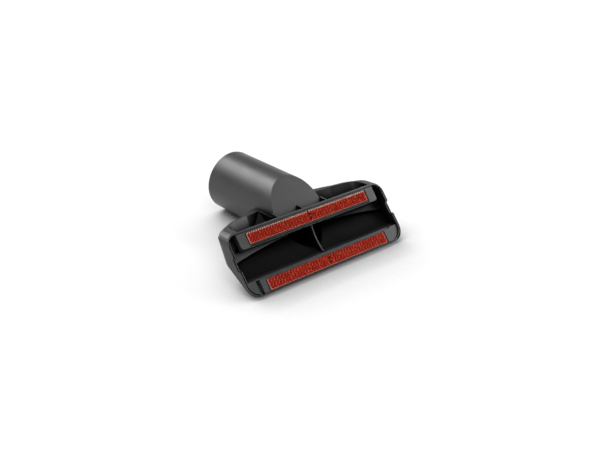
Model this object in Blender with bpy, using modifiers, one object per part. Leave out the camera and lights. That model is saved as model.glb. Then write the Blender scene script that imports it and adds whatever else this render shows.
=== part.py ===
"""Upholstery nozzle for a vacuum cleaner: one moulded body, two lifter bars and four pile strips.

Frames. Everything is first laid out in the socket frame: the hose socket runs along +Y, the mouth
looks towards -Y and up, X is the width. The mouth frame has its origin at the centre of the mouth:
X across, Y up the slope of the mouth, Z out of it. At the end the nozzle is tipped onto its lower
lip and the heel of the socket, which is how it lies on a table.
"""
import math

import bmesh
import bpy
from mathutils import Matrix, Vector

# Hose socket
SOCKET_LENGTH = 0.0523
SOCKET_RADIUS = 0.0200
SOCKET_DRAFT = 0.0003
SOCKET_EDGE = 0.0007
BORE_RADIUS = 0.0176
BORE_TAPER = 0.0003
BORE_DEPTH = 0.0400
BORE_CHAMFER = 0.0006
STOP_RING_RADIUS = 0.0164
STOP_RING_LENGTH = 0.0020
DUCT_WALL = 0.0022
ROUND_STEPS = 72
ROD_STEPS = 24
SOCKET_EDGE_STEPS = 3

# Mouth and its place on the socket
MOUTH_SLOPE = math.radians(49.5)
MOUTH_DROP = 0.0459
TRAY_DEPTH = 0.0073
PLATE_THICKNESS = 0.0020
HEAD_WIDTH = 0.1325
HEAD_HEIGHT = 0.0414
TOP_CORNER_RADIUS = 0.0075
LOW_CORNER_RADIUS = 0.0090
RIM_WALL = 0.00175
RIM_TOP_WALL = 0.00135
CORNER_STEPS = 6

# Outside of the scoop behind the mouth
LAND_FALL = math.radians(3.8)
UNDERSIDE_RISE = math.radians(20.5)
LIP_DEPTH = 0.0024
REAR_LEAN = math.radians(61.0)
WING_ROOT_Y = 0.0019
WING_SWEEP = math.radians(10.4)
WING_RUN = 0.0100
WING_OUTER_SWEEP = math.radians(14.5)
WING_BLEND_RADIUS = 0.0300
WING_CORNER_RADIUS = 0.0078
WING_WALL = 0.0019
WING_TOP_Z = 0.0044
FLARE_RUN = 0.0160
FLARE_RADIUS = 0.0080
FLARE_ROOT_Y = 0.0086
ROOT_TOP_Z = 0.0010
TUBE_NOSE = 0.0015
CLOSING_LAP = 0.0040
BORE_NOSE = 0.0035
BELLY_EDGE = 0.0014
WING_EDGE = 0.0007
RIM_EDGE = 0.0003

# Faces whose shared edges are rounded: how squarely they must face a direction, as cosines
RIM_SQUARE = 0.99
RIM_STEEP = 0.50
TOP_FACING = 0.85
WALL_UPWARD = 0.20
WALL_BACK = 0.30
BELLY_FACING = 0.84
BELLY_WALL_DOWN = 0.60
BELLY_WALL_BACK = 0.50

# Crowned outline that rounds the ends of the land
CROWN_SIDE_RISE = 0.0008
CROWN_SIDE_RADIUS = 0.0040
CROWN_BREAK_IN = 0.00725
CROWN_BREAK_RISE = 0.0056
CROWN_BREAK_RADIUS = 0.0100
CROWN_SLOPE = 0.295

# Trough on each side of the socket, behind the mouth tray
TROUGH_END_IN = 0.01025
TROUGH_FLOOR_WALL = 0.0020
TROUGH_CORNER_RADIUS = 0.0080
TROUGH_ROOT_Y = 0.0028
CHEEK_CLEARANCE = 0.0002
CHEEK_TOP_Z = 0.0012
ROOT_SLOPE_REACH = 0.0090
DUCT_SIDE_STEP = 0.0006
DUCT_SIDE_TOP_Z = -0.0020

# Duct opening in the back of the tray
ARCH_CROWN = 0.0094
ARCH_RISE = 0.0063
ARCH_STEPS = 16
FLOOR_WALL = 0.0018
FLOOR_STEPS = 6
FLOOR_LIP_DEPTH = 0.0008
FLOOR_RUN = 0.0085
FLOOR_BORDER = 0.0005
FLOOR_BEND = 0.0005

# Rim groove and air notches
RIM_LIP_SIDE = 0.00040
RIM_LIP_TOP = 0.00120
GROOVE_WIDTH = 0.00075
GROOVE_TOP_WIDTH = 0.00055
GROOVE_DEPTH = 0.0012
GROOVE_STOP = 0.0008
NOTCH_CENTRE = 0.0018
NOTCH_LENGTH = 0.0095
NOTCH_BASE = 0.0072
NOTCH_DEPTH = 0.0018

# Lifter bars
FIT = 0.0003
UPPER_BAR_END_GAP = 0.0065
UPPER_BAR_HEIGHT = 0.00995
UPPER_BAR_DEPTH = 0.0033
UPPER_BAR_CORNER = 0.0020
BAR_GROOVE_LOW = 0.0004
BAR_GROOVE_WIDTH = 0.0006
BAR_GROOVE_DEPTH = 0.0010
LOWER_BAR_LEFT_GAP = 0.0088
LOWER_BAR_RIGHT_GAP = 0.0072
LOWER_BAR_HEIGHT = 0.0086
LOWER_BAR_DEPTH = 0.0016
PRY_SLOT = 0.0023
LOWER_LIP = 0.0006
TONGUE_DEPTH = 0.0014
TONGUE_WIDTH = 0.0020
PEG_SPACING = 0.0380
PEG_RADIUS = 0.0015
PEG_LENGTH = 0.0022
BOSS_WALL = 0.0012
BOSS_STEP = 0.0002
RAIL_SHORT = 0.0005
RAIL_WALL = 0.0018
RAIL_STEP = 0.0004
SLOT_EXTRA = 0.0004

# Pile strips
BAR_END_LENGTH = 0.0075
STRIP_WIDTH = 0.0069
STRIP_SEAM = 0.0004
STRIP_PROUD = 0.0005
UPPER_TRAY_DEPTH = 0.0017
LOWER_TRAY_DEPTH = 0.0010
UPPER_TRAY_RIM = 0.00065
UPPER_TRAY_WIDTH = 0.0078
LOWER_TRAY_RIM = 0.0008
STRIP_CLEARANCE = 0.0003
STRIP_END_GAP = 0.0008
STRIP_EDGE = 0.0003

# Corner pads beside the lower bar
PAD_DEPTH = 0.0010

# Centre rib and gussets
RIB_THICKNESS = 0.0009
RIB_SET_BACK = 0.0023
RIB_SAG = 0.0012
RIB_STEPS = 8
RIB_FOOT = 0.0015
RIB_END_Y = 0.0200
GUSSET_OUT = 0.0005
GUSSET_THICKNESS = 0.0010
GUSSET_RISE = 0.0033

# Working values
FAR = 0.120
PAST = 0.0050
OVERLAP = 0.0010
SINK = 0.0005
MERGE = 0.00002
FLAT_ANGLE = math.radians(0.5)
SMOOTH_ANGLE = math.radians(32)

# Derived places in the mouth frame
HALF_WIDTH = HEAD_WIDTH / 2
HALF_HEIGHT = HEAD_HEIGHT / 2
INNER_HALF = HALF_WIDTH - RIM_WALL
UPPER_BAR_TOP = HALF_HEIGHT - RIM_TOP_WALL - FIT
UPPER_BAR_LOW = UPPER_BAR_TOP - UPPER_BAR_HEIGHT
LOWER_BAR_LOW = -HALF_HEIGHT + LOWER_LIP + FIT
LOWER_BAR_TOP = LOWER_BAR_LOW + LOWER_BAR_HEIGHT
UPPER_BAR_HALF = INNER_HALF - UPPER_BAR_END_GAP
LOWER_BAR_LEFT = INNER_HALF - LOWER_BAR_LEFT_GAP
LOWER_BAR_RIGHT = INNER_HALF - LOWER_BAR_RIGHT_GAP
RAIL_HALF = UPPER_BAR_HALF - RAIL_SHORT
STRIP_HALF = UPPER_BAR_HALF - BAR_END_LENGTH
TROUGH_END_X = HALF_WIDTH - TROUGH_END_IN
FLARE_X = SOCKET_RADIUS + FLARE_RUN
WING_BREAK_X = FLARE_X + WING_RUN
CROWN_BREAK_X = HALF_WIDTH - CROWN_BREAK_IN
CROWN_SIDE_Y = HALF_HEIGHT + CROWN_SIDE_RISE
CROWN_BREAK_Y = HALF_HEIGHT + CROWN_BREAK_RISE
DUCT_RADIUS = SOCKET_RADIUS - DUCT_WALL
DUCT_SIDE = DUCT_RADIUS - DUCT_SIDE_STEP
GUSSET_X = SOCKET_RADIUS + GUSSET_OUT

MOUTH_UP = Vector((0, math.cos(MOUTH_SLOPE), math.sin(MOUTH_SLOPE)))
MOUTH_OUT = Vector((0, -math.sin(MOUTH_SLOPE), math.cos(MOUTH_SLOPE)))
MOUTH_CENTRE = Vector((0, 0, SOCKET_RADIUS)) - MOUTH_UP * MOUTH_DROP + MOUTH_OUT * TRAY_DEPTH
MOUTH_FRAME = Matrix.Translation(MOUTH_CENTRE) @ Matrix.Rotation(MOUTH_SLOPE, 4, "X")


def collection(name):
    group = bpy.data.collections.new(name)
    bpy.context.scene.collection.children.link(group)
    return group


def empty(name, parent=None, matrix=Matrix()):
    holder = bpy.data.objects.new(name, None)
    holder.empty_display_size = 0.01
    holder.parent = parent
    holder.matrix_local = matrix
    PARTS.objects.link(holder)
    return holder


def place(name, mesh, frame, group):
    solid = bpy.data.objects.new(name, mesh)
    solid.parent = frame
    group.objects.link(solid)
    if group is CUTTERS:
        solid.hide_render = True
        solid.display_type = "WIRE"
    return solid


def evaluated_mesh(item):
    bpy.context.view_layer.update()
    graph = bpy.context.evaluated_depsgraph_get()
    return bpy.data.meshes.new_from_object(item.evaluated_get(graph))


def fillet(before, corner, after, radius, steps):
    """Points of the arc of one radius that rounds a corner between two straight sides."""
    if radius <= 0:
        return [corner]
    back = (before - corner).normalized()
    ahead = (after - corner).normalized()
    half_angle = back.angle(ahead) / 2
    run = radius / math.tan(half_angle)
    centre = corner + (back + ahead).normalized() * radius / math.sin(half_angle)
    first = corner + back * run - centre
    sweep = first.angle_signed(corner + ahead * run - centre)
    return [centre + Matrix.Rotation(-sweep * step / steps, 2) @ first for step in range(steps + 1)]


def rounded(corners, steps=CORNER_STEPS):
    """Closed outline from (x, y, radius) corners."""
    spots = [Vector((x, y)) for x, y, radius in corners]
    outline = []
    for index, corner in enumerate(corners):
        before = spots[index - 1]
        after = spots[(index + 1) % len(spots)]
        outline += fillet(before, spots[index], after, corner[2], steps)
    return outline


def prism(name, outline, low, high, frame, turn=Matrix(), group=None):
    """Flat outline in X and Y, pulled from z = low to z = high, then turned or sheared."""
    curve = bpy.data.curves.new(name, "CURVE")
    curve.dimensions = "2D"
    curve.fill_mode = "BOTH"
    curve.extrude = (high - low) / 2
    spline = curve.splines.new("POLY")
    spline.points.add(len(outline) - 1)
    for point, spot in zip(spline.points, outline):
        point.co = (spot[0], spot[1], 0, 1)
    spline.use_cyclic_u = True
    flat = bpy.data.objects.new(name + "_outline", curve)
    CUTTERS.objects.link(flat)
    mesh = evaluated_mesh(flat)
    bpy.data.objects.remove(flat)
    mesh.name = name
    shape = bmesh.new()
    shape.from_mesh(mesh)
    bmesh.ops.remove_doubles(shape, verts=shape.verts, dist=MERGE)
    bmesh.ops.dissolve_limit(shape, angle_limit=FLAT_ANGLE, verts=shape.verts, edges=shape.edges)
    bmesh.ops.translate(shape, verts=shape.verts, vec=(0, 0, (low + high) / 2))
    bmesh.ops.transform(shape, matrix=turn, verts=shape.verts)
    bmesh.ops.recalc_face_normals(shape, faces=shape.faces)
    shape.to_mesh(mesh)
    shape.free()
    return place(name, mesh, frame, group or CUTTERS)


def turned(name, profile, frame):
    """Profile of (radius, y) points turned about the socket's axis, running from the rear forward."""
    mesh = bpy.data.meshes.new(name)
    points = [(radius, 0, -y) for radius, y in profile]
    edges = [(index, index + 1) for index in range(len(points) - 1)]
    mesh.from_pydata(points, edges, [])
    spun = bpy.data.objects.new(name + "_profile", mesh)
    CUTTERS.objects.link(spun)
    screw = spun.modifiers.new("Turn", "SCREW")
    screw.steps = ROUND_STEPS
    screw.render_steps = ROUND_STEPS
    screw.use_merge_vertices = True
    screw.merge_threshold = MERGE
    solid_mesh = evaluated_mesh(spun)
    bpy.data.objects.remove(spun)
    solid_mesh.name = name
    shape = bmesh.new()
    shape.from_mesh(solid_mesh)
    bmesh.ops.remove_doubles(shape, verts=shape.verts, dist=MERGE)
    bmesh.ops.dissolve_limit(shape, angle_limit=FLAT_ANGLE, verts=shape.verts, edges=shape.edges)
    bmesh.ops.transform(shape, matrix=Matrix.Rotation(math.radians(90), 4, "X"), verts=shape.verts)
    bmesh.ops.recalc_face_normals(shape, faces=shape.faces)
    shape.to_mesh(solid_mesh)
    shape.free()
    return place(name, solid_mesh, frame, CUTTERS)


def box(name, low, high, frame, group=None):
    """Block between two corners."""
    mesh = bpy.data.meshes.new(name)
    shape = bmesh.new()
    size = Vector(high) - Vector(low)
    middle = (Vector(high) + Vector(low)) / 2
    bmesh.ops.create_cube(shape, size=1, matrix=Matrix.Translation(middle) @ Matrix.Diagonal((*size, 1)))
    shape.to_mesh(mesh)
    shape.free()
    return place(name, mesh, frame, group or CUTTERS)


def rod(name, radius, length, middle, frame):
    """Round rod along Z, centred on a place."""
    mesh = bpy.data.meshes.new(name)
    shape = bmesh.new()
    bmesh.ops.create_cone(shape, cap_ends=True, segments=ROD_STEPS, radius1=radius, radius2=radius,
                          depth=length, matrix=Matrix.Translation(middle))
    shape.to_mesh(mesh)
    shape.free()
    return place(name, mesh, frame, CUTTERS)


def boolean(target, other, operation):
    step = target.modifiers.new(operation.title() + " " + other.name, "BOOLEAN")
    step.operation = operation
    step.object = other
    step.solver = "EXACT"


def cut(target, *others):
    for other in others:
        boolean(target, other, "DIFFERENCE")


def join(target, *others):
    for other in others:
        boolean(target, other, "UNION")


def keep_inside(target, *others):
    for other in others:
        boolean(target, other, "INTERSECT")


def bake(item):
    """Turn an object's modifiers into its mesh."""
    mesh = evaluated_mesh(item)
    item.modifiers.clear()
    item.data = mesh


def shear(rise_per_depth, from_depth=0.0):
    """Slides a prism of the mouth frame up the slope as it goes deeper into the head."""
    slide = Matrix()
    slide[1][2] = -rise_per_depth
    slide[1][3] = -rise_per_depth * from_depth
    return slide


def head_outline(side_inset, top_inset, low_inset, reach_up=0.0, reach_down=0.0):
    """Rounded rectangle of the head, seen square onto the mouth."""
    half = HALF_WIDTH - side_inset
    top = HALF_HEIGHT - top_inset + reach_up
    low = -HALF_HEIGHT + low_inset - reach_down
    top_radius = 0 if reach_up else TOP_CORNER_RADIUS - side_inset
    low_radius = 0 if reach_down else LOW_CORNER_RADIUS - side_inset
    return rounded([(-half, low, low_radius), (half, low, low_radius),
                    (half, top, top_radius), (-half, top, top_radius)])


def side_prism(name, outline, half_width, frame):
    """Outline of (y, z) points in a side view, pulled across the width."""
    along_x = Matrix(((0, 0, 1, 0), (1, 0, 0, 0), (0, 1, 0, 0), (0, 0, 0, 1)))
    return prism(name, outline, -half_width, half_width, frame, along_x)


def underside_depth(height, inset):
    """How deep the slanted underside lies at a height of the mouth frame."""
    drop = (height + HALF_HEIGHT) * math.tan(UNDERSIDE_RISE)
    return -LIP_DEPTH - drop + inset / math.cos(UNDERSIDE_RISE)


def arch_height(across):
    """Upper edge of the duct opening."""
    share = across / INNER_HALF
    return ARCH_CROWN - ARCH_RISE * share * share


def arch_line(half, offset):
    """Points of the arch from +X to -X, raised by an offset."""
    points = []
    for step in range(ARCH_STEPS + 1):
        across = half - 2 * half * step / ARCH_STEPS
        points.append((across, arch_height(across) + offset))
    return points


def fan(name, inset, root_y, end_x, corner):
    """The swept rear wall with its flared root: its plan, leaned back, outside or one wall further in."""
    back_off = inset / math.sin(REAR_LEAN) / math.cos(WING_SWEEP)
    flare_y = WING_ROOT_Y - FLARE_X * math.tan(WING_SWEEP) - back_off
    root = (SOCKET_RADIUS - OVERLAP, root_y, 0)
    flare = (FLARE_X, flare_y, FLARE_RADIUS)
    break_y = flare_y - (WING_BREAK_X - FLARE_X) * math.tan(WING_SWEEP)
    if end_x > WING_BREAK_X + corner:
        end_y = break_y - (end_x - WING_BREAK_X) * math.tan(WING_OUTER_SWEEP)
        right = [(end_x, end_y, corner), (WING_BREAK_X, break_y, WING_BLEND_RADIUS), flare, root]
    else:
        end_y = flare_y - (end_x - FLARE_X) * math.tan(WING_SWEEP)
        right = [(end_x, end_y, corner), flare, root]
    left = [(-x, y, radius) for x, y, radius in reversed(right)]
    plan = rounded([(-end_x, -FAR, 0), (end_x, -FAR, 0)] + right + left)
    lean = Matrix()
    lean[1][2] = 1 / math.tan(REAR_LEAN)
    lean[1][3] = -WING_TOP_Z / math.tan(REAR_LEAN)
    return prism(name, plan, -FAR / 2, FAR / 2, REST, lean)


def inner_fan(name):
    """Inside of the rear wall, as the scoop under the duct roof follows it."""
    return fan(name, WING_WALL, TROUGH_ROOT_Y, INNER_HALF, WING_CORNER_RADIUS - WING_WALL)


def round_edges(item, width, segments, wanted):
    """Bevels the edges of a finished mesh whose two face normals pass a test."""
    shape = bmesh.new()
    shape.from_mesh(item.data)
    bmesh.ops.remove_doubles(shape, verts=shape.verts, dist=MERGE)
    bmesh.ops.dissolve_limit(shape, angle_limit=FLAT_ANGLE, verts=shape.verts, edges=shape.edges)
    shape.normal_update()
    chosen = []
    for edge in shape.edges:
        if len(edge.link_faces) == 2:
            first, second = (face.normal for face in edge.link_faces)
            if wanted(first, second) or wanted(second, first):
                chosen.append(edge)
    bmesh.ops.bevel(shape, geom=chosen, offset=width, offset_type="OFFSET", segments=segments,
                    profile=0.5, affect="EDGES", clamp_overlap=True)
    shape.to_mesh(item.data)
    shape.free()


def chamfer(item, width):
    bevel = item.modifiers.new("Soft edges", "BEVEL")
    bevel.width = width
    bevel.segments = 1


def land_crown():
    """Outline square onto the mouth that rounds off the ends of the land."""
    peak = CROWN_BREAK_Y + CROWN_BREAK_X * CROWN_SLOPE
    side = (HALF_WIDTH, CROWN_SIDE_Y, CROWN_SIDE_RADIUS)
    turn = (CROWN_BREAK_X, CROWN_BREAK_Y, CROWN_BREAK_RADIUS)
    outline = rounded([(-HALF_WIDTH - OVERLAP, -FAR, 0), (HALF_WIDTH + OVERLAP, -FAR, 0),
                       (HALF_WIDTH + OVERLAP, CROWN_SIDE_Y - OVERLAP, 0), side, turn, (0, peak, 0),
                       (-turn[0], turn[1], turn[2]), (-side[0], side[1], side[2]),
                       (-HALF_WIDTH - OVERLAP, CROWN_SIDE_Y - OVERLAP, 0)])
    return prism("land_crown", outline, -FAR, FAR, MOUTH)


def outer_head():
    """The scoop's outside: rounded mouth outline run back to the swept rear wall and the underside."""
    land_run = 1 / math.tan(MOUTH_SLOPE + LAND_FALL)
    under_run = 1 / math.tan(UNDERSIDE_RISE)
    head = prism("head_land", head_outline(0, 0, 0, reach_down=FAR), -FAR, 0, MOUTH, shear(land_run),
                 PARTS)
    lip = prism("head_lip", head_outline(0, 0, 0, reach_up=FAR), -FAR, FAR, MOUTH)
    under = prism("head_underside", head_outline(0, 0, 0, reach_up=FAR), -FAR, FAR, MOUTH,
                  shear(under_run, LIP_DEPTH))
    rear = fan("head_rear", 0, FLARE_ROOT_Y, HALF_WIDTH, WING_CORNER_RADIUS)
    keep_inside(head, lip, under, rear, land_crown())
    bake(head)
    socket_up = MOUTH_FRAME.inverted().to_3x3() @ Vector((0, 0, 1))
    socket_back = MOUTH_FRAME.inverted().to_3x3() @ Vector((0, 1, 0))

    def rim_edge(first, second):
        return first.z > RIM_SQUARE and second.z < RIM_STEEP

    def wing_edge(first, second):
        wall = second.dot(socket_up) < WALL_UPWARD and second.dot(socket_back) > WALL_BACK
        return wall and first.dot(socket_up) > TOP_FACING

    def belly_edge(first, second):
        wall = -BELLY_WALL_DOWN < second.dot(socket_up) < 0 and second.dot(socket_back) > BELLY_WALL_BACK
        return wall and first.dot(socket_up) < -BELLY_FACING

    round_edges(head, RIM_EDGE, 2, rim_edge)
    round_edges(head, WING_EDGE, 2, wing_edge)
    round_edges(head, BELLY_EDGE, 3, belly_edge)
    return head


def troughs():
    """The open pocket behind the mouth tray, down to the roof of the duct."""
    behind = -TRAY_DEPTH - PLATE_THICKNESS
    floor = arch_line(HALF_WIDTH, TROUGH_FLOOR_WALL)
    deep = prism("trough_deep", floor + [(-HALF_WIDTH, FAR), (HALF_WIDTH, FAR)], -FAR, behind, MOUTH)
    above = box("trough_above_tray", (-HALF_WIDTH, HALF_HEIGHT, behind - OVERLAP),
                (HALF_WIDTH, FAR, FAR), MOUTH)
    join(deep, above)
    under = [(-FAR, FAR), (-FAR, underside_depth(-FAR, FLOOR_WALL)),
             (FAR, underside_depth(FAR, FLOOR_WALL)), (FAR, FAR)]
    rear = fan("trough_rear", WING_WALL, TROUGH_ROOT_Y, TROUGH_END_X, TROUGH_CORNER_RADIUS)
    keep_inside(deep, rear, side_prism("trough_underside", under, FAR, MOUTH))
    cheek = SOCKET_RADIUS + CHEEK_CLEARANCE
    cut(deep, box("cheeks", (-cheek, -FAR, -FAR), (cheek, FAR, CHEEK_TOP_Z), REST))
    return deep


def root_slopes():
    """Takes the top of the rear wall down towards the socket, behind the trough."""
    start = SOCKET_RADIUS + OVERLAP
    end = 2 * FLARE_X - start
    end_z = 2 * WING_TOP_Z - ROOT_TOP_Z
    outline = [(-end, end_z), (-start, ROOT_TOP_Z), (start, ROOT_TOP_Z), (end, end_z),
               (end, FAR), (-end, FAR)]
    along_y = Matrix(((1, 0, 0, 0), (0, 0, -1, 0), (0, 1, 0, 0), (0, 0, 0, 1)))
    return prism("root_slopes", outline, -FAR, ROOT_SLOPE_REACH, REST, along_y)


def tube():
    """Socket on the outside, cut off slantwise by the flat closing face."""
    rear = SOCKET_LENGTH
    thin = SOCKET_RADIUS - SOCKET_DRAFT
    corner = []
    for step in range(SOCKET_EDGE_STEPS + 1):
        turn = math.radians(90 * step / SOCKET_EDGE_STEPS)
        corner.append((thin - SOCKET_EDGE * (1 - math.sin(turn)), rear - SOCKET_EDGE * (1 - math.cos(turn))))
    profile = [(0, rear)] + corner + [(SOCKET_RADIUS, 0), (SOCKET_RADIUS, -HEAD_HEIGHT), (0, -HEAD_HEIGHT)]
    barrel = turned("socket_outside", profile, REST)
    crown = ARCH_CROWN + CLOSING_LAP
    closing = side_prism("closing_face", [(FAR, -TRAY_DEPTH), (crown, -TRAY_DEPTH), (crown, -TUBE_NOSE),
                                          (-FAR, -TUBE_NOSE), (-FAR, -FAR), (FAR, -FAR)], FAR, MOUTH)
    keep_inside(barrel, closing)
    return barrel


def bore():
    """Tapered socket bore, stop ring and round duct, ended behind the closing plate."""
    rear = SOCKET_LENGTH
    stop = rear - BORE_DEPTH
    duct = DUCT_RADIUS
    profile = [(0, rear + PAST), (BORE_RADIUS + BORE_CHAMFER + PAST, rear + PAST),
               (BORE_RADIUS, rear - BORE_CHAMFER),
               (BORE_RADIUS - BORE_TAPER, stop), (STOP_RING_RADIUS, stop),
               (STOP_RING_RADIUS, stop - STOP_RING_LENGTH), (duct, stop - STOP_RING_LENGTH),
               (duct, -HEAD_HEIGHT), (0, -HEAD_HEIGHT)]
    hole = turned("bore", profile, REST)
    plate = -TRAY_DEPTH - PLATE_THICKNESS
    limit = side_prism("bore_end", [(FAR, plate), (ARCH_CROWN, plate), (ARCH_CROWN, -BORE_NOSE),
                                    (-FAR, -BORE_NOSE), (-FAR, -FAR), (FAR, -FAR)], FAR, MOUTH)
    keep_inside(hole, limit)
    return hole


def duct_sides():
    """Straight-sided lower half of the duct between the cheeks, where the scoop runs into the round bore."""
    sides = box("duct_sides", (-DUCT_SIDE, -FAR, -FAR), (DUCT_SIDE, FAR, DUCT_SIDE_TOP_Z), REST)
    front = -TRAY_DEPTH - PLATE_THICKNESS - SINK
    limit = box("duct_sides_front", (-FAR, -FAR, -FAR), (FAR, FAR, front), MOUTH)
    keep_inside(sides, inner_fan("duct_sides_rear"), mouth_floor("duct_sides_floor"), limit)
    return sides


def mouth_floor(name):
    """Side view of all that may be hollow: above the lower bar, the curved lip and the underside."""
    edge = LOWER_BAR_TOP + FIT + FLOOR_BORDER
    bend = Vector((edge + FLOOR_BEND, underside_depth(edge + FLOOR_BEND, FLOOR_WALL)))
    start = Vector((edge, -FLOOR_LIP_DEPTH))
    end = Vector((edge + FLOOR_RUN, underside_depth(edge + FLOOR_RUN, FLOOR_WALL)))
    curve = []
    for step in range(FLOOR_STEPS + 1):
        share = step / FLOOR_STEPS
        curve.append(start.lerp(bend, share).lerp(bend.lerp(end, share), share))
    outline = [(edge, FAR)] + [tuple(point) for point in curve]
    outline += [(FAR, underside_depth(FAR, FLOOR_WALL)), (FAR, FAR)]
    return side_prism(name, outline, FAR, MOUTH)


def mouth_hollow():
    """Shallow tray, then the arched opening and the scoop behind it."""
    half = INNER_HALF
    inner = head_outline(RIM_WALL, RIM_TOP_WALL, RIM_WALL)
    tray = prism("tray", inner, -TRAY_DEPTH, FAR, MOUTH)
    scoop = prism("scoop", arch_line(half, 0) + [(-half, -FAR), (half, -FAR)],
                  -FAR, -TRAY_DEPTH + OVERLAP, MOUTH)
    keep_inside(scoop, inner_fan("scoop_rear"))
    join(tray, scoop)
    keep_inside(tray, mouth_floor("mouth_floor"))
    return tray


def bar_seats():
    """Recesses for the lower bar with its tongue and slot, and the shallow corner pads beside it."""
    inner = head_outline(RIM_WALL, RIM_TOP_WALL, RIM_WALL)
    pads = prism("pads", inner, -PAD_DEPTH, FAR, MOUTH)
    edge = LOWER_BAR_TOP + FIT + FLOOR_BORDER + SINK
    keep_inside(pads, box("pads_height", (-FAR, -FAR, -FAR), (FAR, edge, FAR), MOUTH))
    floor = -LOWER_BAR_DEPTH - FIT
    left = -LOWER_BAR_LEFT - PRY_SLOT
    right = LOWER_BAR_RIGHT + FIT
    low = -HALF_HEIGHT + LOWER_LIP
    seat = box("lower_seat", (left, low, floor), (right, edge, FAR), MOUTH)
    tongue_low = LOWER_BAR_TOP - TONGUE_WIDTH - FIT
    groove = box("tongue_groove", (left, tongue_low, floor - TONGUE_DEPTH),
                 (right, LOWER_BAR_TOP + FIT, FAR), MOUTH)
    slot = box("pry_slot", (left, low + LOWER_LIP, floor - SLOT_EXTRA),
               (-LOWER_BAR_LEFT, tongue_low + FIT, FAR), MOUTH)
    return pads, seat, groove, slot


def rim_cuts():
    """Groove between the outer and the inner lip of the rim, and the air notches in the end walls."""
    lip = head_outline(RIM_LIP_SIDE, RIM_LIP_TOP, RIM_LIP_SIDE)
    ring = prism("rim_groove", lip, -GROOVE_DEPTH, FAR, MOUTH)
    deep = prism("notch_groove", lip, -NOTCH_DEPTH - GROOVE_DEPTH, FAR, MOUTH)
    base = NOTCH_BASE / 2
    keep_inside(deep, box("notch_height", (-FAR, NOTCH_CENTRE - base, -FAR),
                          (FAR, NOTCH_CENTRE + base, FAR), MOUTH))
    join(ring, deep)
    side = RIM_LIP_SIDE + GROOVE_WIDTH
    core = prism("groove_core", head_outline(side, RIM_LIP_TOP + GROOVE_TOP_WIDTH, side),
                 -FAR, 2 * FAR, MOUTH)
    stop = LOWER_BAR_LEFT + PRY_SLOT + GROOVE_STOP
    lower = box("groove_end", (-stop, -FAR, -FAR), (stop, 0, 2 * FAR), MOUTH)
    cut(ring, core, lower)
    wide = NOTCH_LENGTH / 2
    notch = side_prism("air_notches", [(NOTCH_CENTRE + wide, 0), (NOTCH_CENTRE + wide, FAR),
                                       (NOTCH_CENTRE - wide, FAR), (NOTCH_CENTRE - wide, 0),
                                       (NOTCH_CENTRE - base, -NOTCH_DEPTH),
                                       (NOTCH_CENTRE + base, -NOTCH_DEPTH)], FAR, MOUTH)
    return ring, notch


def upper_seat():
    """Rail and two bosses that carry the upper bar."""
    low = UPPER_BAR_LOW + RAIL_STEP
    face = -UPPER_BAR_DEPTH - FIT
    rail = box("upper_rail", (-RAIL_HALF, low, -TRAY_DEPTH - OVERLAP),
               (RAIL_HALF, low + RAIL_WALL, face), MOUTH)
    middle = (UPPER_BAR_LOW + UPPER_BAR_TOP) / 2
    bosses = []
    holes = []
    for side in (-1, 1):
        top = face - BOSS_STEP
        root = -TRAY_DEPTH - SINK
        spot = Vector((side * PEG_SPACING, middle, (top + root) / 2))
        bosses.append(rod("peg_boss", PEG_RADIUS + BOSS_WALL, top - root, spot, MOUTH))
        hole_spot = Vector((side * PEG_SPACING, middle, face))
        holes.append(rod("peg_hole", PEG_RADIUS + FIT, 2 * (PEG_LENGTH + FIT), hole_spot, MOUTH))
    return rail, bosses, holes


def to_socket(height, out):
    """Side view point of the mouth frame, in the socket frame."""
    spot = MOUTH_CENTRE + MOUTH_UP * height + MOUTH_OUT * out
    return (spot.y, spot.z)


def centre_rib():
    """Thin web across the mouth, hollowed along its front edge, run back into the duct."""
    top = UPPER_BAR_LOW - FIT
    low = LOWER_BAR_TOP + FIT + FLOOR_BORDER + RIB_FOOT
    span = top - low
    front = []
    for step in range(RIB_STEPS + 1):
        share = step / RIB_STEPS
        sag = 4 * RIB_SAG * share * (1 - share)
        front.append(to_socket(top - span * share, -RIB_SET_BACK - sag))
    rail = UPPER_BAR_LOW + RAIL_STEP + RAIL_WALL / 2
    face = -UPPER_BAR_DEPTH - FIT - SINK
    bottom = -SOCKET_RADIUS + DUCT_WALL / 2
    foot = to_socket(low, -RIB_SET_BACK - RIB_FOOT)
    heel = to_socket(low + RIB_FOOT, underside_depth(low + RIB_FOOT, FLOOR_WALL / 2))
    meet = heel[0] + max(0, bottom - heel[1]) / math.tan(MOUTH_SLOPE - UNDERSIDE_RISE)
    outline = front + [foot, heel, (meet, bottom), (-RIB_END_Y, bottom),
                       to_socket(rail, -TRAY_DEPTH - PLATE_THICKNESS / 2), to_socket(rail, face),
                       to_socket(top, face)]
    return side_prism("centre_rib", outline, RIB_THICKNESS / 2, REST)


def gussets():
    """Three small webs in the corner between the closing face and the top of the tray."""
    corner = (HALF_HEIGHT - RIM_TOP_WALL / 2, -TRAY_DEPTH - PLATE_THICKNESS / 2)
    up = GUSSET_RISE / math.sin(MOUTH_SLOPE)
    out = GUSSET_RISE / math.cos(MOUTH_SLOPE)
    outline = [to_socket(*corner), to_socket(HALF_HEIGHT - RIM_TOP_WALL / 2, -TRAY_DEPTH + out),
               to_socket(HALF_HEIGHT, -TRAY_DEPTH + out), to_socket(HALF_HEIGHT + up, -TRAY_DEPTH),
               to_socket(HALF_HEIGHT + up, -TRAY_DEPTH - PLATE_THICKNESS / 2)]
    webs = []
    for name, across in (("gusset_left", -GUSSET_X), ("gusset_middle", 0), ("gusset_right", GUSSET_X)):
        web = side_prism(name, outline, GUSSET_THICKNESS / 2, REST)
        web.location.x = across
        webs.append(web)
    return webs


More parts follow.
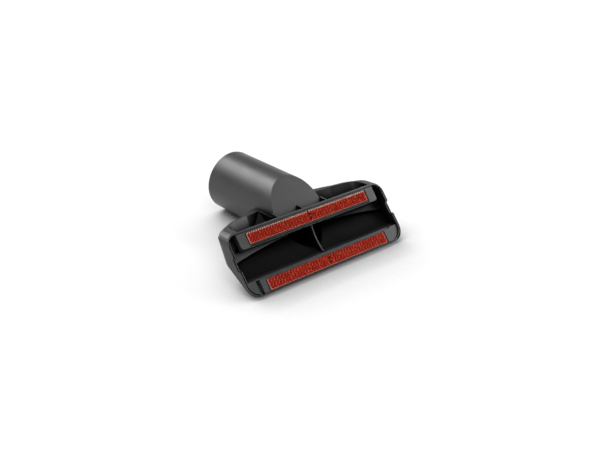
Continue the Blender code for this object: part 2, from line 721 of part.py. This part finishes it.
def nozzle_body():
    body = outer_head()
    body.name = "nozzle_body"
    cut(body, troughs(), root_slopes())
    join(body, tube(), *gussets())
    cut(body, mouth_hollow(), bore(), duct_sides())
    rail, bosses, holes = upper_seat()
    join(body, rail, *bosses)
    join(body, centre_rib())
    ring, notch = rim_cuts()
    cut(body, ring, notch, *bar_seats(), *holes)
    bake(body)
    return body


def upper_bar():
    """Carrier under the top rim: rounded free ends, shallow tray for the pile, two pegs behind."""
    outline = rounded([(-UPPER_BAR_HALF, UPPER_BAR_LOW, UPPER_BAR_CORNER),
                       (UPPER_BAR_HALF, UPPER_BAR_LOW, UPPER_BAR_CORNER),
                       (UPPER_BAR_HALF, UPPER_BAR_TOP, 0), (-UPPER_BAR_HALF, UPPER_BAR_TOP, 0)])
    bar = prism("upper_lifter_bar", outline, -UPPER_BAR_DEPTH, 0, MOUTH, group=PARTS)
    tray_half = STRIP_HALF + STRIP_END_GAP
    top = UPPER_BAR_TOP - UPPER_TRAY_RIM
    tray = box("upper_pile_tray", (-tray_half, top - UPPER_TRAY_WIDTH, -UPPER_TRAY_DEPTH),
               (tray_half, top, FAR), MOUTH)
    groove_low = UPPER_BAR_LOW + BAR_GROOVE_LOW
    groove = box("bar_groove", (-tray_half, groove_low, -BAR_GROOVE_DEPTH),
                 (tray_half, groove_low + BAR_GROOVE_WIDTH, FAR), MOUTH)
    cut(bar, tray, groove)
    middle = (UPPER_BAR_LOW + UPPER_BAR_TOP) / 2
    root = -(UPPER_TRAY_DEPTH + UPPER_BAR_DEPTH) / 2
    tip = -UPPER_BAR_DEPTH - PEG_LENGTH
    for side in (-1, 1):
        spot = Vector((side * PEG_SPACING, middle, (root + tip) / 2))
        join(bar, rod("peg", PEG_RADIUS, root - tip, spot, MOUTH))
    return bar


def lower_bar():
    """Carrier on the lower lip: thin floor, top border, two end blocks and a tongue behind."""
    bar = box("lower_lifter_bar", (-LOWER_BAR_LEFT, LOWER_BAR_LOW, -LOWER_BAR_DEPTH),
              (LOWER_BAR_RIGHT, LOWER_BAR_TOP, 0), MOUTH, PARTS)
    tray_half = STRIP_HALF + STRIP_END_GAP
    tray_top = LOWER_BAR_TOP - LOWER_TRAY_RIM
    tray = box("lower_pile_tray", (-tray_half, -FAR, -LOWER_TRAY_DEPTH), (tray_half, tray_top, FAR), MOUTH)
    cut(bar, tray)
    inside = -(LOWER_TRAY_DEPTH + LOWER_BAR_DEPTH) / 2
    join(bar, box("tongue", (-LOWER_BAR_LEFT, LOWER_BAR_TOP - TONGUE_WIDTH, -LOWER_BAR_DEPTH - TONGUE_DEPTH),
                  (LOWER_BAR_RIGHT, LOWER_BAR_TOP, inside), MOUTH))
    return bar


def pile_strip(name, left, right, top, tray_depth):
    """Plain block of one strip of directional pile, just clear of the tray's floor."""
    strip = box(name, (left, top - STRIP_WIDTH, FIT - tray_depth), (right, top, STRIP_PROUD), MOUTH, PARTS)
    chamfer(strip, STRIP_EDGE)
    return strip


def pile_strips():
    upper_top = UPPER_BAR_TOP - UPPER_TRAY_RIM - STRIP_CLEARANCE
    lower_top = LOWER_BAR_TOP - LOWER_TRAY_RIM - STRIP_CLEARANCE
    seam = STRIP_SEAM / 2
    return [pile_strip("upper_left_pile", -STRIP_HALF, -seam, upper_top, UPPER_TRAY_DEPTH),
            pile_strip("upper_right_pile", seam, STRIP_HALF, upper_top, UPPER_TRAY_DEPTH),
            pile_strip("lower_left_pile", -STRIP_HALF, -seam, lower_top, LOWER_TRAY_DEPTH),
            pile_strip("lower_right_pile", seam, STRIP_HALF, lower_top, LOWER_TRAY_DEPTH)]


def smooth(item):
    """Shades the round faces smooth and keeps the corners sharp."""
    item.data.shade_smooth()
    item.data.set_sharp_from_angle(angle=SMOOTH_ANGLE)


def material(name, color, roughness):
    look = bpy.data.materials.new(name)
    look.use_nodes = True
    shader = look.node_tree.nodes["Principled BSDF"]
    shader.inputs["Base Color"].default_value = (*color, 1)
    shader.inputs["Roughness"].default_value = roughness
    shader.inputs["Metallic"].default_value = 0
    return look


def lay_down(body):
    """Tips the nozzle onto its lower lip and socket heel and centres it over the origin."""
    spots = sorted({(round(spot.y, 6), round(spot.z, 6)) for spot in
                    (body.matrix_basis @ MOUTH_FRAME @ vertex.co for vertex in body.data.vertices)})
    hull = []
    for spot in spots:
        while len(hull) > 1 and turn_of(hull[-2], hull[-1], spot) <= 0:
            hull.pop()
        hull.append(spot)
    front, rear = max(zip(hull, hull[1:]), key=lambda pair: pair[1][0] - pair[0][0])
    tilt = math.atan2(rear[1] - front[1], rear[0] - front[0])
    turn = Matrix.Rotation(-tilt, 4, "X")
    laid = [turn @ Vector((0, y, z)) for y, z in spots]
    middle = (min(spot.y for spot in laid) + max(spot.y for spot in laid)) / 2
    floor = min(spot.z for spot in laid)
    REST.matrix_local = Matrix.Translation((0, -middle, -floor)) @ turn


def turn_of(first, second, third):
    """Positive where three side-view points turn to the left."""
    return (second[0] - first[0]) * (third[1] - first[1]) - (second[1] - first[1]) * (third[0] - first[0])


for item in list(bpy.data.objects):
    bpy.data.objects.remove(item)

PARTS = collection("upholstery_nozzle")
CUTTERS = collection("upholstery_nozzle_cutters")
REST = empty("socket_frame")
MOUTH = empty("mouth_frame", REST, MOUTH_FRAME)

plastic = material("dark_grey_plastic", (0.045, 0.046, 0.049), 0.5)
pile = material("red_pile", (0.35, 0.02, 0.01), 0.95)

body = nozzle_body()
upper = upper_bar()
bake(upper)
for item in [body, upper, lower_bar()]:
    item.data.materials.append(plastic)
    smooth(item)
for item in pile_strips():
    item.data.materials.append(pile)
lay_down(body)
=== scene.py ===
"""Studio picture of the vacuum upholstery nozzle.

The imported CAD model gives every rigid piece. This script adds the plastic's grain, the directional
pile on the four strips, the white table, the lights and the camera. Lengths are in metres.
"""
import math

import bpy
import numpy as np
from mathutils import Matrix, Vector


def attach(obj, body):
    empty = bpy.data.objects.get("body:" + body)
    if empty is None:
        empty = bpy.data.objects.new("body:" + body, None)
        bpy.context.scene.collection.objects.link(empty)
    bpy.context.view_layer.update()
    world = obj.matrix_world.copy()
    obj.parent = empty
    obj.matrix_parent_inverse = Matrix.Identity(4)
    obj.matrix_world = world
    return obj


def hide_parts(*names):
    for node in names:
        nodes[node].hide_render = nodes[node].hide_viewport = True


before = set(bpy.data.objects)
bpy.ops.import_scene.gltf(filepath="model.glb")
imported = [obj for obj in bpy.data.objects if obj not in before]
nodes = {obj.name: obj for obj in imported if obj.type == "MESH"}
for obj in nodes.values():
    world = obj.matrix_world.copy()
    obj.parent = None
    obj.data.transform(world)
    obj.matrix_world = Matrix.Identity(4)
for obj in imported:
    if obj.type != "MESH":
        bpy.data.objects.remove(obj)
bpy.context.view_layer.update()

# The mouth's frame in the row frame: X across, Y up the slope of the mouth, Z out of it.
# The slope is the mouth's angle less the tilt at which the nozzle lies.
MOUTH_ANGLE = 49.5
REST_TILT = 4.501545
MOUTH_ORIGIN = Vector((0, -0.037583, 0.016334))
MOUTH = Matrix.Translation(MOUTH_ORIGIN) @ Matrix.Rotation(math.radians(MOUTH_ANGLE - REST_TILT), 4, "X")

# The camera, found by fitting the outline of the socket and the mouth to the photograph
CAMERA_PLACE = Vector((-0.432543, -0.456459, 0.356014))
CAMERA_AXES = Matrix(((0.738024, 0.276007, -0.615744),
                      (-0.670338, 0.404366, -0.622202),
                      (0.077253, 0.871957, 0.483448)))
CAMERA_LENS = 66.0
CAMERA_SENSOR = 36
CAMERA_CLIP = 0.01

# The plastics: colour, roughness and radius of the softened edges
PLASTICS = {
    "dark_grey_satin": ((0.021, 0.0215, 0.0225), 0.38, 0.00035),
    "dark_grey_bar": ((0.024, 0.0245, 0.0255), 0.42, 0.00025),
}
RIGID_NODES = {
    "nozzle_body": "dark_grey_satin",
    "upper_lifter_bar": "dark_grey_bar",
    "lower_lifter_bar": "dark_grey_bar",
}
GRAIN = {"Scale": 2200.0, "Detail": 2.0, "Roughness": 0.6}
GRAIN_STRENGTH = 0.35
GRAIN_HEIGHT = 0.00006
CLOUD = {"Scale": 90.0, "Detail": 3.0, "Roughness": 0.5}
CLOUD_TINT = ((0.25, 0.88), (0.75, 1.10))    # cloud value, share of the colour
CLOUD_GLOSS = ((0.3, -0.04), (0.7, 0.05))    # cloud value, change of the roughness
EDGE_SAMPLES = 6

# Painted shade in hollows: colour and reflection darken by the occlusion within HOLLOW_REACH
HOLLOW_REACH = 0.060
HOLLOW_SAMPLES = 8
HOLLOW_PAINTED_SHADE = ((0.35, 0.03), (0.75, 1.0))
HOLLOW_REFLECTION_SHADE = (0.38, 0.75)
OPEN_SPECULAR = 0.5

# Painted shade on the walls inside the mouth. Each pair is a value just off these walls and one fully on
# them.
INSIDE_SLANT = (0.985, 0.960)       # cosine to the mouth's axis; the end plates don't slant
INSIDE_RIGHT = (0.015, 0.022)       # right of here the end plate gets the painted shade as well
INSIDE_FACING = (0.3, 0.6)          # the same cosine; the walls have to face the mouth
INSIDE_TOP = (0.0125, 0.0100)       # under the top rim
INSIDE_FRONT = (-0.0025, -0.0045)   # behind the bars
INSIDE_PAINTED_SHADE = 0.8                   # share of colour and reflection taken away there, as painted shade

# Pile strips in the mouth's frame: left, right, bottom and top edge
STRIPS = {
    "upper_left_pile": (-0.0505, -0.0002, 0.0112, 0.0181),
    "upper_right_pile": (0.0002, 0.0495, 0.0112, 0.0181),
    "lower_left_pile": (-0.0505, -0.0002, -0.0192, -0.0123),
    "lower_right_pile": (0.0002, 0.0495, -0.0192, -0.0123),
}
# Heights in the mouth's frame
UPPER_TRAY = -0.0014
LOWER_TRAY = -0.0007
PILE_BACK = -0.00025
PILE_ROOT = -0.00020
PILE_TIP = 0.00062

# Tufts stand in rows, each row shifted by a part of the pitch
TUFT_PITCH = 0.00120
TUFT_ROW = 0.00070
TUFT_SHIFTS = 4
TUFT_SPREAD = 0.00030
ROW_MARGIN = 0.4                    # share of a row left free below and above
FIRST_TUFT = 0.3                    # shares of the pitch left free at the ends of a row
LAST_TUFT = 0.2
TONE = 0.45                         # how light the dye is, and by how much it differs
TONE_WEAVE = 0.20
TONE_TUFT = 0.15
TONE_FIBRE = 0.12

FIBRES = 24
FIBRE_RADIUS = 0.00008
FIBRE_NAP = (0.00030, -0.00022)     # how far the tip leans, across and up
FIBRE_STRAY = 0.00010
FIBRE_RISE = (0.86, 0.10)           # mean and deviation, as a share of the pile's height
FIBRE_RISE_LIMITS = (0.4, 1.0)
BEND_LEAN = 0.35                    # the bend's share of the lean, of the rise and of the radius
BEND_RISE = 0.6
BEND_RADIUS = 0.85
RING = 3                            # a spike has a ring at the root, one at the bend, and a tip
SPIKE = 2 * RING + 1

# Pale threads: cut ones along two edges, and the stitches in the room at the top of the upper strips
EDGE_THREADS = 0.00011
THREAD_RISE = 1.4
THREAD_STRAY = 0.3
THREAD_TONE = 0.8
THREAD_PALENESS = (0.6, 1.0)
CUT_PALENESS = 0.6
STITCH_PITCH = 0.00172
STITCH_ROOM = 0.00095
STITCH_SIZE = (0.00016, 0.00036)
STITCH_FIBRES = 18
STITCH_RADIUS = 0.00019

PALE_THREAD = (1.0, 0.80, 0.68, 1)
DYE = ((0.0, (0.32, 0.009, 0.003)), (0.35, (0.70, 0.028, 0.010)),
       (0.7, (0.92, 0.085, 0.036)), (1.0, (1.0, 0.28, 0.17)))
# Painted shade in the pile: share of the colour from the roots (0) to the tips (1)
ROOT_PAINTED_SHADE = ((0.0, 0.15), (0.35, 0.60), (0.65, 1.0))

# The sky's grey from the front (0) to the back (1). Mirrored and transmitted rays see white below the
# horizon's band, which is given by the height of their direction.
SKY = ((0.0, 0.10), (0.45, 0.22), (0.75, 0.36), (1.0, 0.45))
HORIZON = (0.22, 0.14)

# The table. Seen rays meet a dim lit colour, which takes the lamps' shadow, with white glow added. The glow
# fades where the nozzle stands in the contact's direction, a painted contact shadow, and it is stronger far
# from the nozzle.
TABLE_SIZE = 30
TABLE_HEIGHT = -0.0001
TABLE_COLOUR = (0.80, 0.80, 0.80, 1)
TABLE_LIT = (0.32, 0.32, 0.32, 1)
CONTACT_REACH = 0.045
CONTACT_SAMPLES = 16
CONTACT_TOWARD = {"X": 0.05, "Y": 0.78, "Z": 0.62}
CONTACT = ((0.30, 0.0), (0.60, 0.10), (0.80, 0.34), (0.97, 0.59))
FAR = (0.5, 1.6)
FAR_LIGHT = 0.40

# Softboxes: direction from the nozzle, width and height, and how bright the face is
SOFTBOXES = {
    "back_box": ((-0.24, 0.62, 0.74), (1.2, 0.60), 8.4),
    "right_box": ((0.85, -0.32, 0.42), (0.7, 0.7), 5.5),
    "front_box": ((-0.25, -0.60, 0.75), (0.7, 0.7), 4.5),
}
SOFTBOX_DISTANCE = 1.3

WHITE = (1, 1, 1, 1)


def node_tree(owner):
    """The empty node tree of a material or a world."""
    owner.use_nodes = True
    owner.node_tree.nodes.clear()
    return owner.node_tree


def add(tree, kind, **values):
    """A shader node; values with a capital set its sockets, the others its settings."""
    node = tree.nodes.new(kind)
    for key, value in values.items():
        if key[0].isupper():
            node.inputs[key.replace("_", " ")].default_value = value
        else:
            setattr(node, key, value)
    return node


def ramp(tree, value, stops):
    """The value through a colour ramp of (position, colour or grey) stops."""
    node = add(tree, "ShaderNodeValToRGB")
    points = node.color_ramp.elements
    while len(points) < len(stops):
        points.new(0.5)
    for point, (position, shade) in zip(points, stops):
        point.position = position
        point.color = (shade, shade, shade, 1) if isinstance(shade, float) else (*shade, 1)
    tree.links.new(value, node.inputs[0])
    return node.outputs[0]


def step(tree, value, start, end):
    """0 to 1 as the value goes from start to end."""
    node = add(tree, "ShaderNodeMapRange", From_Min=start, From_Max=end)
    tree.links.new(value, node.inputs["Value"])
    return node.outputs[0]


def arithmetic(tree, operation, *values):
    """A sum on sockets and plain numbers."""
    node = add(tree, "ShaderNodeMath", operation=operation)
    for socket, value in zip(node.inputs, values):
        if isinstance(value, float):
            socket.default_value = value
        else:
            tree.links.new(value, socket)
    return node.outputs[0]


def mix_colours(tree, first, second, **values):
    """A mix of two colour sockets."""
    node = add(tree, "ShaderNodeMix", data_type="RGBA", **values)
    tree.links.new(first, node.inputs[6])
    tree.links.new(second, node.inputs[7])
    return node.outputs[2]


def mix_shaders(tree, share, first, second):
    """The first shader where the share is 0, the second where it is 1."""
    node = add(tree, "ShaderNodeMixShader")
    for socket, value in zip(node.inputs, (share, first.outputs[0], second.outputs[0])):
        tree.links.new(value, socket)
    return node.outputs[0]


def coordinates(tree, output):
    """The X, Y and Z of a texture coordinate."""
    place = add(tree, "ShaderNodeTexCoord")
    split = add(tree, "ShaderNodeSeparateXYZ")
    tree.links.new(place.outputs[output], split.inputs[0])
    return split.outputs


def mouth_shade_mask(tree):
    """Mask of the painted shade: 1 on the walls inside the mouth, between the bars, where no light comes from
    behind, and on the end plate right of the middle.
    """
    place = add(tree, "ShaderNodeNewGeometry")
    sunk = add(tree, "ShaderNodeVectorMath", operation="SUBTRACT")
    sunk.inputs[1].default_value = MOUTH_ORIGIN
    tree.links.new(place.outputs["Position"], sunk.inputs[0])
    measured = []
    for vector, axis in ((sunk.outputs[0], 0), (sunk.outputs[0], 1), (sunk.outputs[0], 2),
                         (place.outputs["True Normal"], 2)):
        along = add(tree, "ShaderNodeVectorMath", operation="DOT_PRODUCT")
        along.inputs[1].default_value = MOUTH.col[axis][:3]
        tree.links.new(vector, along.inputs[0])
        measured.append(along.outputs["Value"])
    across, up, out, facing = measured
    inside = arithmetic(tree, "MAXIMUM", step(tree, facing, *INSIDE_SLANT), step(tree, across, *INSIDE_RIGHT))
    for value, limits in ((facing, INSIDE_FACING), (up, INSIDE_TOP), (out, INSIDE_FRONT)):
        inside = arithmetic(tree, "MULTIPLY", inside, step(tree, value, *limits))
    return inside


def plastic(name, colour, roughness, edge):
    """Satin moulded plastic: fine spark-eroded grain, a little unevenness in gloss, softened edges, and
    painted shade in hollows and inside the mouth.
    """
    material = bpy.data.materials.new(name)
    tree = node_tree(material)
    link = tree.links.new
    out = add(tree, "ShaderNodeOutputMaterial")
    shader = add(tree, "ShaderNodeBsdfPrincipled", IOR=1.5)
    link(shader.outputs[0], out.inputs[0])
    place = add(tree, "ShaderNodeTexCoord")
    grain = add(tree, "ShaderNodeTexNoise", **GRAIN)
    cloud = add(tree, "ShaderNodeTexNoise", **CLOUD)
    for noise in (grain, cloud):
        link(place.outputs["Object"], noise.inputs["Vector"])
    tint = ramp(tree, cloud.outputs["Fac"],
                [(at, tuple(share * c for c in colour)) for at, share in CLOUD_TINT])
    gloss = ramp(tree, cloud.outputs["Fac"], [(at, roughness + change) for at, change in CLOUD_GLOSS])
    link(gloss, shader.inputs["Roughness"])

    # Painted shade: colour and reflection darken in hollows, by the occlusion from the part itself.
    hollow = add(tree, "ShaderNodeAmbientOcclusion", samples=HOLLOW_SAMPLES, only_local=True,
                 Distance=HOLLOW_REACH).outputs["AO"]
    # Painted shade on the walls inside the mouth and on the right end plate.
    painted_mouth_shade = arithmetic(tree, "MULTIPLY", mouth_shade_mask(tree), INSIDE_PAINTED_SHADE)
    unshaded_share = arithmetic(tree, "SUBTRACT", 1.0, painted_mouth_shade)
    shade = arithmetic(tree, "MULTIPLY", ramp(tree, hollow, HOLLOW_PAINTED_SHADE), unshaded_share)
    link(mix_colours(tree, tint, shade, blend_type="MULTIPLY", Factor=1.0), shader.inputs["Base Color"])
    mirror = arithmetic(tree, "MULTIPLY", step(tree, hollow, *HOLLOW_REFLECTION_SHADE), unshaded_share)
    link(arithmetic(tree, "MULTIPLY", mirror, OPEN_SPECULAR), shader.inputs["Specular IOR Level"])

    soft = add(tree, "ShaderNodeBevel", samples=EDGE_SAMPLES, Radius=edge)
    bump = add(tree, "ShaderNodeBump", Strength=GRAIN_STRENGTH, Distance=GRAIN_HEIGHT)
    link(grain.outputs["Fac"], bump.inputs["Height"])
    link(soft.outputs[0], bump.inputs["Normal"])
    link(bump.outputs[0], shader.inputs["Normal"])
    return material


def pile_material(name):
    """Red pile with pale threads where it was cut, and painted shade that makes it dark at the roots and
    brighter at the tips.
    """
    material = bpy.data.materials.new(name)
    tree = node_tree(material)
    link = tree.links.new
    out = add(tree, "ShaderNodeOutputMaterial")
    shader = add(tree, "ShaderNodeBsdfPrincipled", Roughness=0.7, IOR=1.45, Specular_IOR_Level=0.25,
                 Sheen_Weight=0.3, Sheen_Roughness=0.4, Sheen_Tint=(1.0, 0.45, 0.3, 1))
    link(shader.outputs[0], out.inputs[0])
    # Painted shade: the pile darkens towards the roots, by the height in the mouth's frame.
    root_shade = ramp(tree, step(tree, coordinates(tree, "Object")["Z"], PILE_ROOT, PILE_TIP), ROOT_PAINTED_SHADE)
    tone = add(tree, "ShaderNodeAttribute", attribute_name="tone")
    pale = add(tree, "ShaderNodeAttribute", attribute_name="pale")
    thread = add(tree, "ShaderNodeMix", data_type="RGBA")
    link(pale.outputs["Fac"], thread.inputs[0])
    link(ramp(tree, tone.outputs["Fac"], DYE), thread.inputs[6])
    thread.inputs[7].default_value = PALE_THREAD
    colour = mix_colours(tree, thread.outputs[2], root_shade, blend_type="MULTIPLY", Factor=1.0)
    link(colour, shader.inputs["Base Color"])
    return material


def tuft_roots(rng, left, right, low, top):
    """Root places of all pile fibres and how light each one is, from tuft to tuft."""
    centres = []
    weave = []
    rows = int((top - low) / TUFT_ROW)
    for row in range(rows + 1):
        v = low + TUFT_ROW * ROW_MARGIN + row * (top - low - TUFT_ROW * 2 * ROW_MARGIN) / rows
        shift = (row % TUFT_SHIFTS) * TUFT_PITCH / TUFT_SHIFTS
        for tuft in range(int((right - left) / TUFT_PITCH) + 1):
            x = left + TUFT_PITCH * FIRST_TUFT + shift + tuft * TUFT_PITCH
            if x < right - TUFT_PITCH * LAST_TUFT:
                centres.append((x, v))
                weave.append(1 if (row + 2 * tuft) % 4 < 2 else -1)
    centres = np.array(centres)
    tone = TONE + TONE_WEAVE * np.array(weave) + TONE_TUFT * rng.normal(0, 1, len(centres))
    count = len(centres) * FIBRES
    angle = rng.uniform(0, 2 * math.pi, count)
    spread = TUFT_SPREAD * np.sqrt(rng.uniform(0, 1, count))
    places = np.repeat(centres, FIBRES, axis=0)
    places = places + np.stack([spread * np.cos(angle), spread * np.sin(angle)], axis=1)
    return places, np.repeat(tone, FIBRES) + TONE_FIBRE * rng.normal(0, 1, count)


def thread_roots(rng, left, right, low, top):
    """Root places and radii of the cut threads along the lower edge and the outer end, and of the
    stitches of the upper strips."""
    along = np.arange(left, right, EDGE_THREADS)
    up = np.arange(low, top, EDGE_THREADS)
    end = left if left < -abs(right) else right
    places = [np.stack([along, np.full(len(along), low)], axis=1),
              np.stack([np.full(len(up), end), up], axis=1)]
    cut = sum(len(row) for row in places)
    if low > 0:
        for x in np.arange(left + STITCH_PITCH / 2, right, STITCH_PITCH):
            spot = np.array([x, top - STITCH_ROOM / 2])
            places.append(spot + rng.uniform(-1, 1, (STITCH_FIBRES, 2)) * STITCH_SIZE)
    places = np.concatenate(places)
    return places, np.where(np.arange(len(places)) < cut, FIBRE_RADIUS, STITCH_RADIUS)


def spikes(root, middle, tip, radius, turn):
    """Points and faces of slim three-sided spikes, open at the root."""
    count = len(root)
    points = np.empty((count, SPIKE, 3))
    faces = []
    for corner in range(RING):
        around = turn + corner * 2 * math.pi / RING
        ring = np.stack([np.cos(around), np.sin(around), np.zeros(count)], axis=1)
        points[:, corner] = root + radius * ring
        points[:, RING + corner] = middle + BEND_RADIUS * radius * ring
        following = (corner + 1) % RING
        faces.append((corner, following, RING + following))
        faces.append((corner, RING + following, RING + corner))
        faces.append((RING + corner, RING + following, 2 * RING))
    points[:, 2 * RING] = tip
    faces = np.array(faces)[None] + SPIKE * np.arange(count)[:, None, None]
    return points.reshape(-1, 3), faces.reshape(-1, 3)


def backing(left, right, low, top):
    """Points and faces of the closed block that fills the bar's tray under the pile."""
    points = [(x, v, w) for w in (UPPER_TRAY if low > 0 else LOWER_TRAY, PILE_BACK)
              for x, v in ((left, low), (right, low), (right, top), (left, top))]
    faces = [(0, 2, 1), (0, 3, 2), (4, 5, 6), (4, 6, 7), (0, 1, 5), (0, 5, 4), (1, 2, 6), (1, 6, 5),
             (2, 3, 7), (2, 7, 6), (3, 0, 4), (3, 4, 7)]
    return np.array(points), np.array(faces)


def pile_strip(name, left, right, low, top, seed):
    """Backing with rows of tufts, every fibre a slim bent spike that leans along the nap."""
    rng = np.random.default_rng(seed)
    tufts, tone = tuft_roots(rng, left, right, low, top - STITCH_ROOM if low > 0 else top)
    threads, thread_radius = thread_roots(rng, left, right, low, top)
    count = len(tufts) + len(threads)
    palest = np.where(thread_radius == FIBRE_RADIUS, CUT_PALENESS, 1.0)
    pale = np.concatenate([np.zeros(len(tufts)), palest * rng.uniform(*THREAD_PALENESS, len(threads))])
    tone = np.concatenate([tone, np.full(len(threads), THREAD_TONE)])
    radius = np.concatenate([np.full(len(tufts), FIBRE_RADIUS), thread_radius])[:, None]

    root = np.empty((count, 3))
    root[:, :2] = np.clip(np.concatenate([tufts, threads]), (left, low), (right, top))
    root[:, 2] = PILE_ROOT
    is_thread = pale > 0
    nap = np.where(is_thread[:, None], (0.0, 0.0), FIBRE_NAP)
    lean = nap + rng.normal(0, FIBRE_STRAY, (count, 2)) * np.where(is_thread[:, None], THREAD_STRAY, 1.0)
    rise = np.clip(rng.normal(*FIBRE_RISE, count), *FIBRE_RISE_LIMITS)
    tall = (PILE_TIP - PILE_ROOT) * np.where(is_thread, THREAD_RISE, rise)
    offset = np.concatenate([lean, tall[:, None]], axis=1)
    turn = rng.uniform(0, 2 * math.pi, count)

    middle = root + offset * (BEND_LEAN, BEND_LEAN, BEND_RISE)
    points, faces = spikes(root, middle, root + offset, radius, turn)
    block, block_faces = backing(left, right, low, top)
    mesh = bpy.data.meshes.new(name + "_tufts")
    mesh.from_pydata(np.concatenate([points, block]).tolist(), [],
                     np.concatenate([faces, block_faces + len(points)]).tolist())
    for label, values in (("tone", tone), ("pale", pale)):
        layer = mesh.attributes.new(label, "FLOAT", "POINT")
        values = np.concatenate([values.repeat(SPIKE), np.zeros(len(block))])
        layer.data.foreach_set("value", values.astype(np.float32))
    strip = bpy.data.objects.new(name + "_tufts", mesh)
    strip.matrix_world = MOUTH
    bpy.context.scene.collection.objects.link(strip)
    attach(strip, "root")
    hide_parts(name)
    return strip


def softbox(name, toward, size, radiance):
    """Rectangular light in a direction from the nozzle, given by how bright its face is."""
    lamp = bpy.data.lights.new(name, "AREA")
    lamp.shape = "RECTANGLE"
    lamp.size, lamp.size_y = size
    lamp.energy = radiance * math.pi * size[0] * size[1]
    light = bpy.data.objects.new(name, lamp)
    light.location = Vector(toward).normalized() * SOFTBOX_DISTANCE
    light.rotation_euler = (-light.location).to_track_quat("-Z", "Y").to_euler()
    bpy.context.scene.collection.objects.link(light)


def seen_rays(tree):
    """1 for the rays that show the background: the camera's, mirrored and transmitted ones."""
    rays = add(tree, "ShaderNodeLightPath").outputs
    either = arithmetic(tree, "MAXIMUM", rays["Is Camera Ray"], rays["Is Glossy Ray"])
    return arithmetic(tree, "MAXIMUM", either, rays["Is Transmission Ray"])


def surroundings():
    """Grey light from around, lighter at the back. The camera sees white there, and mirrored and
    transmitted rays see it near the horizon."""
    world = bpy.data.worlds.new("studio")
    bpy.context.scene.world = world
    tree = node_tree(world)
    out = add(tree, "ShaderNodeOutputWorld")
    direction = coordinates(tree, "Generated")
    around = add(tree, "ShaderNodeBackground", Strength=1.0)
    tree.links.new(ramp(tree, step(tree, direction["Y"], -1.0, 1.0), SKY), around.inputs["Color"])
    white = add(tree, "ShaderNodeBackground", Color=WHITE, Strength=1.0)
    low = arithmetic(tree, "MULTIPLY", seen_rays(tree), step(tree, direction["Z"], *HORIZON))
    rays = add(tree, "ShaderNodeLightPath")
    shown = arithmetic(tree, "MAXIMUM", rays.outputs["Is Camera Ray"], low)
    tree.links.new(mix_shaders(tree, shown, around, white), out.inputs[0])


def table_material(name):
    """Near white table for the light, and a white one with a soft painted contact shadow for seen rays."""
    material = bpy.data.materials.new(name)
    tree = node_tree(material)
    link = tree.links.new
    plain = add(tree, "ShaderNodeBsdfPrincipled", Base_Color=TABLE_COLOUR, Roughness=1.0,
                Specular_IOR_Level=0.0)
    lit = add(tree, "ShaderNodeBsdfDiffuse", Color=TABLE_LIT)
    # Painted contact shadow: the white glow fades where the occlusion, tilted toward CONTACT_TOWARD, meets
    # the nozzle.
    near = add(tree, "ShaderNodeAmbientOcclusion", samples=CONTACT_SAMPLES, Distance=CONTACT_REACH)
    toward = add(tree, "ShaderNodeCombineXYZ", **CONTACT_TOWARD)
    link(toward.outputs[0], near.inputs["Normal"])
    ground = add(tree, "ShaderNodeNewGeometry")
    away = add(tree, "ShaderNodeVectorMath", operation="LENGTH")
    link(ground.outputs["Position"], away.inputs[0])
    beyond = arithmetic(tree, "MULTIPLY", step(tree, away.outputs["Value"], *FAR), FAR_LIGHT)
    white = add(tree, "ShaderNodeEmission", Color=WHITE)
    link(arithmetic(tree, "ADD", ramp(tree, near.outputs["AO"], CONTACT), beyond), white.inputs["Strength"])
    shown = add(tree, "ShaderNodeAddShader")
    link(lit.outputs[0], shown.inputs[0])
    link(white.outputs[0], shown.inputs[1])
    out = add(tree, "ShaderNodeOutputMaterial")
    link(mix_shaders(tree, seen_rays(tree), plain, shown), out.inputs[0])
    return material


def studio():
    """White table without an edge, white surroundings, soft light from behind, right and in front."""
    surroundings()
    bpy.ops.mesh.primitive_plane_add(size=TABLE_SIZE, location=(0, 0, TABLE_HEIGHT))
    table = bpy.context.object
    table.name = "table"
    table.data.materials.append(table_material("white_table"))
    for name, (toward, size, radiance) in SOFTBOXES.items():
        softbox(name, toward, size, radiance)


def camera():
    """The camera at the photograph's viewing angle."""
    lens = bpy.data.cameras.new("camera")
    lens.lens = CAMERA_LENS
    lens.sensor_width = CAMERA_SENSOR
    lens.clip_start = CAMERA_CLIP
    viewer = bpy.data.objects.new("camera", lens)
    viewer.matrix_world = Matrix.Translation(CAMERA_PLACE) @ CAMERA_AXES.to_4x4()
    bpy.context.scene.collection.objects.link(viewer)
    bpy.context.scene.camera = viewer


def dress(node, material):
    """Gives the object this material alone."""
    node.data.materials.clear()
    node.data.materials.append(material)


plastics = {name: plastic(name, *values) for name, values in PLASTICS.items()}
for name, kind in RIGID_NODES.items():
    dress(nodes[name], plastics[kind])

red = pile_material("red_pile")
for seed, (name, edges) in enumerate(STRIPS.items(), 1):
    dress(pile_strip(name, *edges, seed), red)
    dress(nodes[name], red)

studio()
camera()
scene = bpy.context.scene
scene.view_settings.view_transform = "Standard"
